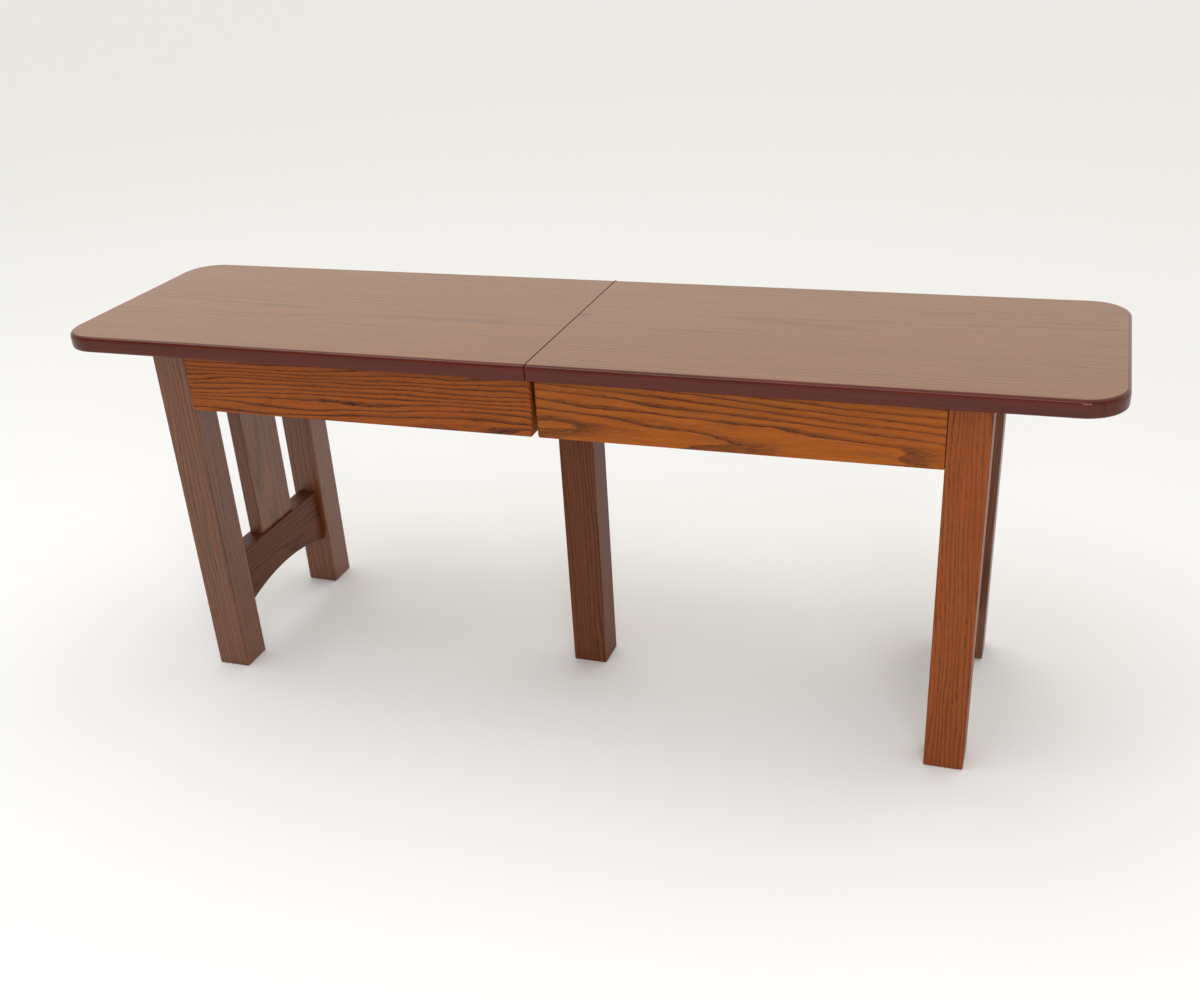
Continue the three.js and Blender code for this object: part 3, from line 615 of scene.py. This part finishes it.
def stretcher(half, pith, tilt):
    """The lower stretcher, with one shallow arch cut along its underside."""
    cad = f"{half}_stretcher"
    low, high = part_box(cad)
    front_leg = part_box(f"{half}_front_leg")
    rear_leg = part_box(f"{half}_rear_leg")
    low = Vector((low.x, front_leg[1].y + SHOULDER_GAP, low.z))
    high = Vector((high.x, rear_leg[0].y - SHOULDER_GAP, high.z))
    reach = (high.y - low.y) / 2
    radius = (reach ** 2 + STRETCHER_ARCH ** 2) / (2 * STRETCHER_ARCH)
    made = start_block(low, high)
    for step in range(1, ARCH_STEPS):
        cut_y = low.y + (high.y - low.y) * step / ARCH_STEPS
        bmesh.ops.bisect_plane(
            made,
            geom=made.verts[:] + made.edges[:] + made.faces[:],
            plane_co=(0, cut_y, 0),
            plane_no=(0, 1, 0),
        )
    middle = (low.y + high.y) / 2
    for vert in made.verts:
        if near(vert.co.z, low.z):
            away = vert.co.y - middle
            vert.co.z = low.z + STRETCHER_ARCH - radius + math.sqrt(radius ** 2 - away ** 2)
    ends = (low.y, high.y)
    eased = [edge for edge in corner_edges(made)
             if abs(edge.verts[0].co.y - edge.verts[1].co.y) > 0.5 * MM
             and not all(near(v.co.y, ends[0]) or near(v.co.y, ends[1]) for v in edge.verts)]
    round_edges(made, eased, FRAME_EASE, EASE_STEPS)
    oak = sawn_wood(f"{half}_stretcher_stained_oak", (low, high), "y", pith, tilt, STRETCHER_OAK)
    finish_piece(made, f"{half}_arched_stretcher", BODY_OF[cad], [oak], [cad])


for half, shift in (("left", 0), ("right", 500)):
    slat_low, slat_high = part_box(f"{half}_slat")
    rail_low, rail_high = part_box(f"{half}_end_rail")
    leg_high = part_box(f"{half}_front_leg")[1]
    bar_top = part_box(f"{half}_stretcher")[1].z
    inner = leg_high.y + SHOULDER_GAP
    slat = (
        Vector((slat_low.x, slat_low.y, bar_top + SHOULDER_GAP)),
        Vector((slat_high.x, slat_high.y, rail_low.z - SHOULDER_GAP)),
    )
    rail = (
        Vector((rail_low.x, inner, rail_low.z)),
        Vector((rail_high.x, -inner, rail_high.z)),
    )
    pith = (shift + 100, 12, 50)
    plain_bar(f"{half}_slat", f"{half}_end_slat", "z", slat, pith, (0, 1.6, 1.0))
    pith = (shift + 200, 48, 10)
    plain_bar(f"{half}_end_rail", f"{half}_upper_rail", "y", rail, pith, (0, 1, 2))
    stretcher(half, (shift + 350, 58, 14), (0, 1.5, 1.8))


# ------------------------------------------------------------------ slides, blocks and gears


# A dressed node's triangles that lie this flat become one face, and its edges that turn more
# than this get a bevel.
FLAT_WITHIN = math.radians(0.5)
BEVEL_ABOVE = math.radians(32)


def dress(name, material, ease):
    """Keep a CAD node as it is, with its own material, and small bevels where its faces meet."""
    cad = frame["nodes"][name]
    cad.data.materials.clear()
    cad.data.materials.append(material)
    cad.data.shade_smooth()
    weld = cad.modifiers.new("weld", "WELD")
    weld.merge_threshold = SAME_POINT
    whole = cad.modifiers.new("whole faces", "DECIMATE")
    whole.decimate_type = "DISSOLVE"
    whole.angle_limit = FLAT_WITHIN
    eased = cad.modifiers.new("eased edges", "BEVEL")
    eased.width = ease
    eased.segments = EASE_STEPS
    eased.limit_method = "ANGLE"
    eased.angle_limit = BEVEL_ABOVE
    flat = cad.modifiers.new("flat faces", "WEIGHTED_NORMAL")
    flat.mode = "FACE_AREA"
    flat.weight = 100


def dress_in_wood(name, grain, pith, tilt, look, ease):
    wood = "waxed_maple" if look is SLIDE_MAPLE else "sawn_poplar"
    dress(name, sawn_wood(f"{name}_{wood}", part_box(name), grain, pith, tilt, look), ease)


HALVES = ("left", "right")
SIDES = ("front", "rear")
CORNERS = [f"{half}_{side}" for half in HALVES for side in SIDES]

for number, side in enumerate(SIDES):
    pith = (700 * number, 40, 62)
    dress_in_wood(f"{side}_centre_slide", "x", pith, (0, 0.6, 0.4), SLIDE_MAPLE, SLIDE_EASE)
    dress(f"{side}_pinion", milled_steel, GEAR_EASE)

for number, corner in enumerate(CORNERS):
    pith = (500 * number, 46, 55)
    dress_in_wood(f"{corner}_slide", "x", pith, (0, -0.5, 0.7), SLIDE_MAPLE, SLIDE_EASE)
    pith = (500 * number, 44, 40)
    dress_in_wood(f"{corner}_slide_stop", "x", pith, (0, 2, 3), BLOCK_POPLAR, BLOCK_EASE)
    pith = (500 * number, 36, 48)
    dress_in_wood(f"{corner}_corner_block", "z", pith, (4, 2, 20), BLOCK_POPLAR, BLOCK_EASE)
    dress(f"{corner}_rack", milled_steel, GEAR_EASE)

dress_in_wood("leg_block", "y", (250, 12, 60), (1, 1, 2), BLOCK_POPLAR, LEG_BLOCK_EASE)
for name in ("lock_plate", "lock_keeper", "lock_lever"):
    dress(name, brushed_brass, LOCK_EASE)


# ------------------------------------------------------------------ shapes of the small hardware
#
# Each is made standing on Z, in millimetres, and set in place afterwards.


def turned(profile, sides=36):
    """A bmesh turned about Z through points of radius and height."""
    made = bmesh.new()
    points = [made.verts.new((radius * MM, 0, height * MM)) for radius, height in profile]
    edges = [made.edges.new(pair) for pair in zip(points, points[1:])]
    bmesh.ops.spin(
        made,
        geom=points + edges,
        cent=(0, 0, 0),
        axis=(0, 0, 1),
        angle=math.tau,
        steps=sides,
        use_merge=True,
    )
    bmesh.ops.remove_doubles(made, verts=made.verts[:], dist=SAME_POINT)
    bmesh.ops.recalc_face_normals(made, faces=made.faces[:])
    return made


def cross_recess(made, top, reach, width, depth):
    """Press a tapered cross into the flat top of a head."""
    for axis in ((1, 0, 0), (0, 1, 0)):
        for offset in (-reach, -width / 2, width / 2, reach):
            bmesh.ops.bisect_plane(
                made,
                geom=made.verts[:] + made.edges[:] + made.faces[:],
                dist=ON_THE_CUT,
                plane_co=Vector(axis) * offset * MM,
                plane_no=axis,
            )
    pressed = []
    for face in made.faces:
        middle = face.calc_center_median() / MM
        narrow, wide = sorted((abs(middle.x), abs(middle.y)))
        on_top = face.normal.z > 0.9 and abs(middle.z - top) < 0.01
        if on_top and narrow < width / 2 and wide < reach:
            pressed.append(face)
    bmesh.ops.inset_region(
        made,
        faces=pressed,
        thickness=width / 6 * MM,
        depth=-depth * MM,
        use_boundary=True,
        use_even_offset=True,
    )


def washer_head_screw():
    """The head of a washer-head screw: a thin flange, a low dome and a cross recess."""
    height = 2.0
    made = turned([
        (0, -1),
        (1.9, -1),
        (1.9, 0.02),
        (5.6, 0.02),
        (5.9, 0.3),
        (5.7, 0.7),
        (3.9, 0.8),
        (3.6, 1.4),
        (2.9, 1.9),
        (2.4, height),
        (0, height),
    ])
    cross_recess(made, height, 1.9, 0.8, 1.0)
    return made


def countersunk_screw(radius, length):
    """A flat-head screw with its head's top at zero and its point below."""
    shank = radius / 2
    made = turned([
        (0, -length),
        (shank * 0.9, 2 * shank - length),
        (shank, -radius),
        (radius - 0.2, -0.4),
        (radius, -0.2),
        (radius - 0.15, 0),
        (0, 0),
    ])
    cross_recess(made, 0, 0.56 * radius, 0.2 * radius, 0.3 * radius)
    return made


def washer(bore_radius, radius, thickness):
    edge = 0.2
    return turned([
        (bore_radius, 0),
        (radius - edge, 0),
        (radius, edge),
        (radius, thickness - edge),
        (radius - edge, thickness),
        (bore_radius, thickness),
        (bore_radius, 0),
    ])


def hexagon(across_flats, height, bore_radius, chamfer):
    """A nut, or a bolt's head where the bore is nothing, with its top corners chamfered."""
    flat = across_flats / 2
    profile = [
        (bore_radius, 0),
        (flat, 0),
        (flat, height - chamfer / 2),
        (flat - chamfer / 3, height),
        (bore_radius, height),
    ]
    made = turned(profile + profile[:1] if bore_radius else profile)
    for vert in made.verts:
        if vert.co.xy.length > (flat - 0.01) * MM:
            angle = math.atan2(vert.co.y, vert.co.x) % (math.pi / 3) - math.pi / 6
            vert.co.xy = vert.co.xy / math.cos(angle)
    return made


def threaded_rod(radius, low, thread_from, high, pitch):
    """A rod with a thread at its top end, as rings: crests at the radius, roots inside it."""
    root = radius - 0.6 * pitch
    rings = int((high - thread_from) / pitch) - 1
    thread = []
    for ring in range(rings):
        thread.append((radius, thread_from + (ring + 0.5) * pitch))
        thread.append((root, thread_from + (ring + 1) * pitch))
    return turned([
        (0, low),
        (root, low),
        (radius, low + radius),
        (radius, thread_from - pitch),
        (root, thread_from),
        *thread,
        (root, high),
        (0, high),
    ])


def fluted_dowel(radius, length):
    """A dowel with chamfered ends, and flutes along it that let the air and glue out."""
    chamfer = 1.4
    flute = 0.3
    sides = 32
    made = turned([
        (0, 0),
        (radius - chamfer, 0),
        (radius, chamfer),
        (radius, length - chamfer),
        (radius - chamfer, length),
        (0, length),
    ], sides)
    for vert in made.verts:
        step = round(math.atan2(vert.co.y, vert.co.x) / math.tau * sides)
        if step % 2 and vert.co.xy.length > (radius - 0.01) * MM:
            vert.co.xy = vert.co.xy * (1 - flute / radius)
    return made


def domed_rivet(radius, length, head_radius, head_height):
    seat = length - head_height
    return turned([
        (0, 0),
        (radius, 0),
        (radius, seat),
        (head_radius, seat),
        (head_radius, seat + 0.25 * head_height),
        (0.85 * head_radius, seat + 0.62 * head_height),
        (0.55 * head_radius, seat + 0.88 * head_height),
        (0.2 * head_radius, length),
        (0, length),
    ])


def set_out(shapes):
    """One bmesh that holds each shape at its point, with its Z along the given direction."""
    whole = bmesh.new()
    for shape, point, direction in shapes:
        turn = direction.to_track_quat("Z", "Y").to_matrix().to_4x4()
        bmesh.ops.transform(shape, matrix=Matrix.Translation(point) @ turn, verts=shape.verts[:])
        single = bpy.data.meshes.new("single")
        shape.to_mesh(single)
        shape.free()
        whole.from_mesh(single)
        bpy.data.meshes.remove(single)
    return whole


def hardware(name, cad, material, shapes, replaced=()):
    """A piece of hardware that rides with a CAD node."""
    finish_piece(set_out(shapes), name, BODY_OF[cad], [material], replaced)


# ------------------------------------------------------------------ hardware in place

UP = Vector((0, 0, 1))
ACROSS = Vector((0, 1, 0))
ALONG = Vector((1, 0, 0))

# In millimetres, as the shapes are.
SLIDE_SCREWS_FROM_MIDDLE = (75, 210, 345)
BLOCK_SCREWS_SIDEWAYS = 26
BLOCK_SCREWS_UPWARDS = 11
HANGER_NUT_HEIGHT = 6
HANGER_NUT_ROOM = 0.3
HANGER_WASHER = 1.2
HANGER_BOLT_HALF = 30.5
HANGER_THREAD = 16
HANGER_WASHER_LIFT = 0.02
HANGER_NUT_LIFT = 0.05
AXLE_RADIUS = 4
AXLE_CHAMFER = 0.5
LEG_BOLT_HEAD = 7
LEG_BOLT_WASHER = 1.6
LOCK_SCREW_INSET = 4.5
LOCK_SCREW_PROUD = 0.1


def middle_of(name):
    low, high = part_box(name)
    return (low + high) / 2


for corner in CORNERS:
    outward = -1 if corner.startswith("left") else 1
    low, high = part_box(f"{corner}_slide")
    middle = (low.y + high.y) / 2
    hardware(f"{corner}_slide_screws", f"{corner}_slide", zinc_plate, [
        (washer_head_screw(), Vector((outward * distance * MM, middle, low.z)), -UP)
        for distance in SLIDE_SCREWS_FROM_MIDDLE
    ])

    # The hanger bolt's line runs level from the leg's middle through the corner block's.
    nut = middle_of(f"{corner}_hanger_nut")
    leg = middle_of(f"{corner}_leg")
    inward = Vector((nut.x - leg.x, nut.y - leg.y, 0)).normalized()
    sideways = inward.cross(UP)
    block_face = nut - inward * (HANGER_NUT_HEIGHT / 2 + HANGER_NUT_ROOM) * MM
    block = f"{corner}_corner_block"
    wide = sideways * BLOCK_SCREWS_SIDEWAYS * MM
    tall = UP * BLOCK_SCREWS_UPWARDS * MM
    hardware(f"{corner}_block_screws", block, zinc_plate, [
        (washer_head_screw(), block_face + offset, inward)
        for offset in (-wide - tall, -wide + tall, wide - tall, wide + tall)
    ])
    hardware(f"{corner}_hanger_washer", block, zinc_plate, [
        (washer(bore_radius=3.2, radius=6.3, thickness=HANGER_WASHER),
         block_face + inward * HANGER_WASHER_LIFT * MM, inward),
    ])
    hardware(f"{corner}_hanger_hex_nut", block, zinc_plate, [
        (hexagon(across_flats=10, height=HANGER_NUT_HEIGHT - HANGER_WASHER,
                 bore_radius=3.05, chamfer=1.2),
         block_face + inward * (HANGER_WASHER + HANGER_NUT_LIFT) * MM, inward),
    ], [f"{corner}_hanger_nut"])
    hardware(f"{corner}_threaded_hanger_bolt", block, zinc_plate, [
        (threaded_rod(radius=3, low=-HANGER_BOLT_HALF,
                      thread_from=HANGER_BOLT_HALF - HANGER_THREAD,
                      high=HANGER_BOLT_HALF, pitch=1),
         middle_of(f"{corner}_hanger_bolt"), inward),
    ], [f"{corner}_hanger_bolt"])

for side in SIDES:
    cad = f"{side}_pinion_axle"
    low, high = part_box(cad)
    tall = (high.z - low.z) / MM
    axle = turned([
        (0, 0),
        (AXLE_RADIUS - AXLE_CHAMFER, 0),
        (AXLE_RADIUS, AXLE_CHAMFER),
        (AXLE_RADIUS, tall - AXLE_CHAMFER),
        (AXLE_RADIUS - AXLE_CHAMFER, tall),
        (0, tall),
    ])
    hardware(f"{side}_turned_axle", cad, zinc_plate, [
        (axle, Vector((0, middle_of(cad).y, low.z)), UP),
    ], [cad])

    for end in HALVES:
        cad = f"{side}_{end}_block_screw"
        low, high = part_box(cad)
        wide = (high.x - low.x) / MM / 2
        tall = (high.z - low.z) / MM
        foot = Vector(((low.x + high.x) / 2, (low.y + high.y) / 2, low.z))
        hardware(f"{side}_{end}_countersunk_screw", cad, zinc_plate, [
            (countersunk_screw(wide, tall), foot, -UP),
        ], [cad])

    cad = f"{side}_alignment_pin"
    low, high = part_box(cad)
    pith = (40, 30, 50)
    maple = sawn_wood(f"{side}_dowel_maple", (low, high), "x", pith, (0, 1, 1), SLIDE_MAPLE)
    hardware(f"{side}_fluted_dowel", cad, maple, [
        (fluted_dowel((high.z - low.z) / MM / 2, (high.x - low.x) / MM),
         Vector((low.x, middle_of(cad).y, middle_of(cad).z)), ALONG),
    ], [cad])

# The centre leg's bolt, with its head on a washer on top of the leg block.
low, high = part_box("centre_leg_bolt")
shank = (high.z - low.z) / MM - LEG_BOLT_HEAD
hardware("centre_leg_hex_bolt", "centre_leg_bolt", zinc_plate, [
    (threaded_rod(radius=5, low=0, thread_from=shank - 1, high=shank, pitch=1),
     Vector((0, 0, low.z)), UP),
    (washer(bore_radius=5.2, radius=11, thickness=LEG_BOLT_WASHER),
     Vector((0, 0, low.z + shank * MM)), UP),
    (hexagon(across_flats=17, height=LEG_BOLT_HEAD - LEG_BOLT_WASHER, bore_radius=0, chamfer=2),
     Vector((0, 0, low.z + (shank + LEG_BOLT_WASHER) * MM)), UP),
], ["centre_leg_bolt"])

low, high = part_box("lock_rivet")
rivet = middle_of("lock_rivet")
hardware("lock_domed_rivet", "lock_rivet", brushed_brass, [
    (domed_rivet(radius=2.5, length=(high.y - low.y) / MM, head_radius=5, head_height=1.8),
     Vector((rivet.x, low.y, rivet.z)), ACROSS),
], ["lock_rivet"])

# Three screws to each plate, clear of the lever's swing.
plate_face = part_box("lock_plate")[1].y + LOCK_SCREW_PROUD * MM
inset = LOCK_SCREW_INSET * MM
for cad, by_seam in (("lock_plate", "low"), ("lock_keeper", "high")):
    low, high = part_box(cad)
    left = low.x + inset
    right = high.x - inset
    far = right if by_seam == "low" else left
    top = high.z - inset
    bottom = low.z + inset
    hardware(f"{cad}_screws", cad, brushed_brass, [
        (countersunk_screw(radius=2.4, length=9), Vector((x, plate_face, z)), ACROSS)
        for x, z in ((left, top), (right, top), (far, bottom))
    ])


# ------------------------------------------------------------------ camera, floor and light

CAMERA_PLACE = Vector((0.5514, -1.4403, 0.9458))
CAMERA_YAW = math.radians(20.56)
CAMERA_PITCH = math.radians(28.93)
CAMERA_ROLL = math.radians(3.67)

eye = bpy.data.cameras.new("camera")
eye.sensor_fit = "HORIZONTAL"
eye.sensor_width = 36
eye.lens = 40.72
eye.shift_y = 0.0752
camera = bpy.data.objects.new("camera", eye)
camera.matrix_world = (
    Matrix.Translation(CAMERA_PLACE)
    @ Matrix.Rotation(CAMERA_YAW, 4, "Z")
    @ Matrix.Rotation(math.radians(90) - CAMERA_PITCH, 4, "X")
    @ Matrix.Rotation(-CAMERA_ROLL, 4, "Z")
)
bpy.context.collection.objects.link(camera)
bpy.context.scene.camera = camera
bpy.context.scene.view_settings.view_transform = "Standard"

FLOOR_HALF = 20
FLOOR_DROP = 0.5 * MM

made = bmesh.new()
bmesh.ops.create_grid(made, x_segments=1, y_segments=1, size=FLOOR_HALF)
floor_mesh = bpy.data.meshes.new("floor")
made.to_mesh(floor_mesh)
made.free()
floor = bpy.data.objects.new("floor", floor_mesh)
floor.location.z = -FLOOR_DROP
bpy.context.collection.objects.link(floor)
paint = bpy.data.materials.new("matt_white_paint")
paint.use_nodes = True
painted = paint.node_tree.nodes["Principled BSDF"]
painted.inputs["Base Color"].default_value = colour("eef1f5")
painted.inputs["Roughness"].default_value = 0.9
floor_mesh.materials.append(paint)

# The studio's walls: dim in front of the bench and bright behind it, so that the lacquered seat
# mirrors a pale wall and the aprons keep their own colour. A bright ceiling lights the floor, and
# a pale band runs all round above the floor's far edge.
world = bpy.data.worlds.new("studio")
bpy.context.scene.world = world
world.use_nodes = True
walls = world.node_tree
walls.nodes.clear()
direction = node(walls, "ShaderNodeTexCoord", out="Generated")
facing = node(walls, "ShaderNodeSeparateXYZ", {"Vector": direction})
back_wall = node(walls, "ShaderNodeMapRange", {
    "Value": facing.outputs["Y"],
    "From Min": -0.6,
    "From Max": 0.9,
    "To Min": 0.1,
    "To Max": 1.2,
}, "Result", interpolation_type="SMOOTHSTEP")
ceiling = node(walls, "ShaderNodeMapRange", {
    "Value": facing.outputs["Z"],
    "From Min": 0.6,
    "From Max": 0.95,
    "To Max": 0.85,
}, "Result", interpolation_type="SMOOTHSTEP")
horizon = node(walls, "ShaderNodeMapRange", {
    "Value": facing.outputs["Z"],
    "From Min": 0.25,
    "From Max": 0.6,
    "To Min": 0.82,
    "To Max": 0.0,
}, "Result", interpolation_type="SMOOTHSTEP")
around = node(walls, "ShaderNodeMath", {
    0: back_wall,
    1: horizon,
}, "Value", operation="MAXIMUM")
brightness = node(walls, "ShaderNodeMath", {0: around, 1: ceiling}, "Value", operation="ADD")
sky = node(walls, "ShaderNodeBackground", {
    "Color": (1.0, 0.955, 0.875, 1.0),
    "Strength": brightness,
}, "Background")
node(walls, "ShaderNodeOutputWorld", {"Surface": sky})


def soft_light(name, place, target, width, height, power):
    """A rectangular light aimed at a point, and out of the camera's own sight."""
    data = bpy.data.lights.new(name, "AREA")
    data.shape = "RECTANGLE"
    data.size = width
    data.size_y = height
    data.energy = power
    lamp = bpy.data.objects.new(name, data)
    lamp.location = place
    lamp.rotation_euler = (Vector(target) - Vector(place)).to_track_quat("-Z", "Y").to_euler()
    lamp.visible_camera = False
    bpy.context.collection.objects.link(lamp)


soft_light(
    "front_key",
    place=(1.1, -2.1, 1.5),
    target=(0.1, 0, 0.35),
    width=0.8,
    height=0.6,
    power=12,
)
# A long softbox overhead draws a soft bright line along the seat's round edge.
soft_light(
    "overhead_softbox",
    place=(-0.6, -0.75, 2.2),
    target=(-0.1, 0, 0.45),
    width=3.6,
    height=0.4,
    power=16,
)
